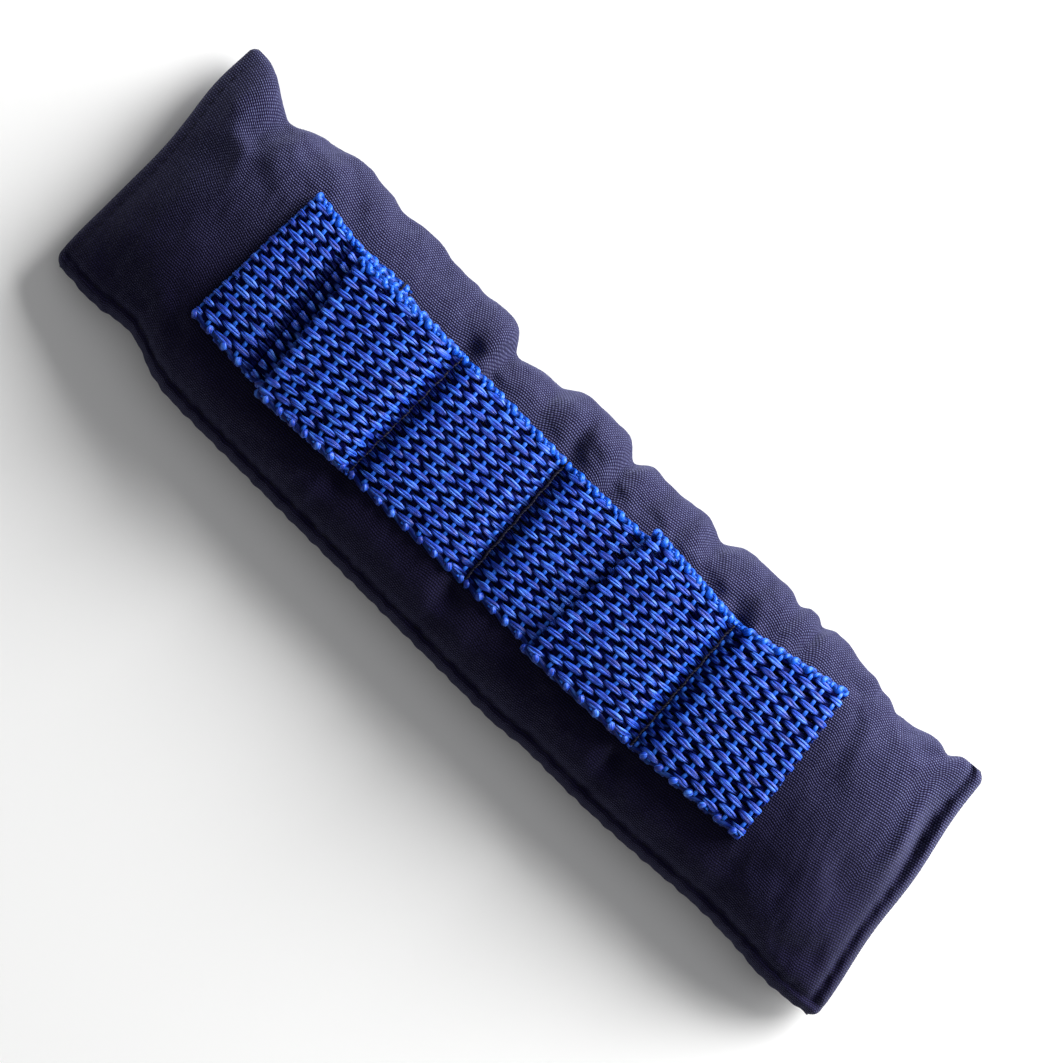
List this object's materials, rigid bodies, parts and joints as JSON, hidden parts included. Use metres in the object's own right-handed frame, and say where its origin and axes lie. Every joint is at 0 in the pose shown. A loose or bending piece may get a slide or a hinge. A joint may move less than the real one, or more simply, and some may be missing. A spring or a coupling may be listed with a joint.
{
  "type": "ankle cuff weight",
  "caption": "Soft shot-filled cloth cuff weight that bends round the ankle, with folded webbing loops sewn across its top for a strap.",
  "frame": {"origin": "under the middle of the flat cuff, on the face that rests on the leg", "axes": "+X along the cuff, +Y towards its folded long side, +Z out of the webbing side"},
  "size_m": [0.2429, 0.069, 0.0334],
  "materials": {
    "cloth": "matte",
    "webbing": "satin",
    "sewing_thread": "satin",
    "liner": "matte",
    "shot": "satin"
  },
  "bodies": {
    "length_1": {"cover_length_1": "cloth", "liner_length_1": "liner", "shot_fill_1": "shot", "side_seam_thread_1": "sewing_thread", "left_end_seam_thread": "sewing_thread"},
    "length_2": {"cover_length_2": "cloth", "liner_length_2": "liner", "shot_fill_2": "shot", "side_seam_thread_2": "sewing_thread", "bend_1": "cloth", "strip_cut_end": "webbing", "strip_run_1": "webbing", "row_thread_hidden": "sewing_thread"},
    "length_3": {"cover_length_3": "cloth", "liner_length_3": "liner", "shot_fill_3": "shot", "side_seam_thread_3": "sewing_thread", "bend_2": "cloth", "strip_run_2": "webbing", "row_thread_1": "sewing_thread"},
    "length_4": {"cover_length_4": "cloth", "liner_length_4": "liner", "shot_fill_4": "shot", "side_seam_thread_4": "sewing_thread", "bend_3": "cloth", "bend_4": "cloth", "strip_run_3": "webbing", "row_thread_2": "sewing_thread", "row_thread_3": "sewing_thread"},
    "length_5": {"cover_length_5": "cloth", "liner_length_5": "liner", "shot_fill_5": "shot", "side_seam_thread_5": "sewing_thread", "bend_5": "cloth"},
    "length_6": {"cover_length_6": "cloth", "liner_length_6": "liner", "shot_fill_6": "shot", "side_seam_thread_6": "sewing_thread", "right_end_seam_thread": "sewing_thread"},
    "loop_a": {"loop_a_lower": "webbing", "loop_a_upper": "webbing", "loop_a_fold": "webbing"},
    "loop_b": {"loop_b_lower": "webbing", "loop_b_upper": "webbing", "loop_b_fold": "webbing"},
    "loop_c": {"loop_c_lower": "webbing", "loop_c_upper": "webbing", "loop_c_fold": "webbing"},
    "loop_d": {"loop_d_lower": "webbing", "loop_d_upper": "webbing", "loop_d_fold": "webbing"}
  },
  "joints": [
    {"name": "bend_at_row_2", "type": "hinge", "parent": "length_4", "child": "length_3", "pos_m": [-0.0042, 0, 0.0261], "axis": [0.0704, -0.9975, 0], "range_deg": [0, 36], "deforming": ["bend_3"]},
    {"name": "bend_at_row_1", "type": "hinge", "parent": "length_3", "child": "length_2", "pos_m": [-0.0387, 0, 0.0261], "axis": [0, -1, 0], "range_deg": [0, 36], "deforming": ["bend_2"]},
    {"name": "bend_at_left_end", "type": "hinge", "parent": "length_2", "child": "length_1", "pos_m": [-0.0938, 0, 0.0243], "axis": [0, -1, 0], "range_deg": [0, 36], "deforming": ["bend_1"]},
    {"name": "bend_at_row_3", "type": "hinge", "parent": "length_4", "child": "length_5", "pos_m": [0.0482, 0, 0.0261], "axis": [-0.0728, 0.9973, 0], "range_deg": [0, 36], "deforming": ["bend_4"]},
    {"name": "bend_at_right_end", "type": "hinge", "parent": "length_5", "child": "length_6", "pos_m": [0.0865, 0, 0.0243], "axis": [-0.1386, 0.9903, 0], "range_deg": [0, 36], "deforming": ["bend_5"]},
    {"name": "loop_a_lift", "type": "hinge", "parent": "length_2", "child": "loop_a", "pos_m": [-0.07158, 0, 0.02835], "axis": [-0.0926, 0.9957, 0], "range_deg": [0, 60]},
    {"name": "loop_b_lift", "type": "hinge", "parent": "length_2", "child": "loop_b", "pos_m": [-0.0392, 0, 0.0294], "axis": [0, 1, 0], "range_deg": [0, 75]},
    {"name": "loop_c_lift", "type": "hinge", "parent": "length_4", "child": "loop_c", "pos_m": [0.04651, 0, 0.0306], "axis": [-0.0728, 0.9973, 0], "range_deg": [0, 75]},
    {"name": "loop_d_lift", "type": "hinge", "parent": "length_5", "child": "loop_d", "pos_m": [0.04921, 0, 0.0284], "axis": [0.0728, -0.9973, 0], "range_deg": [0, 75]}
  ]
}
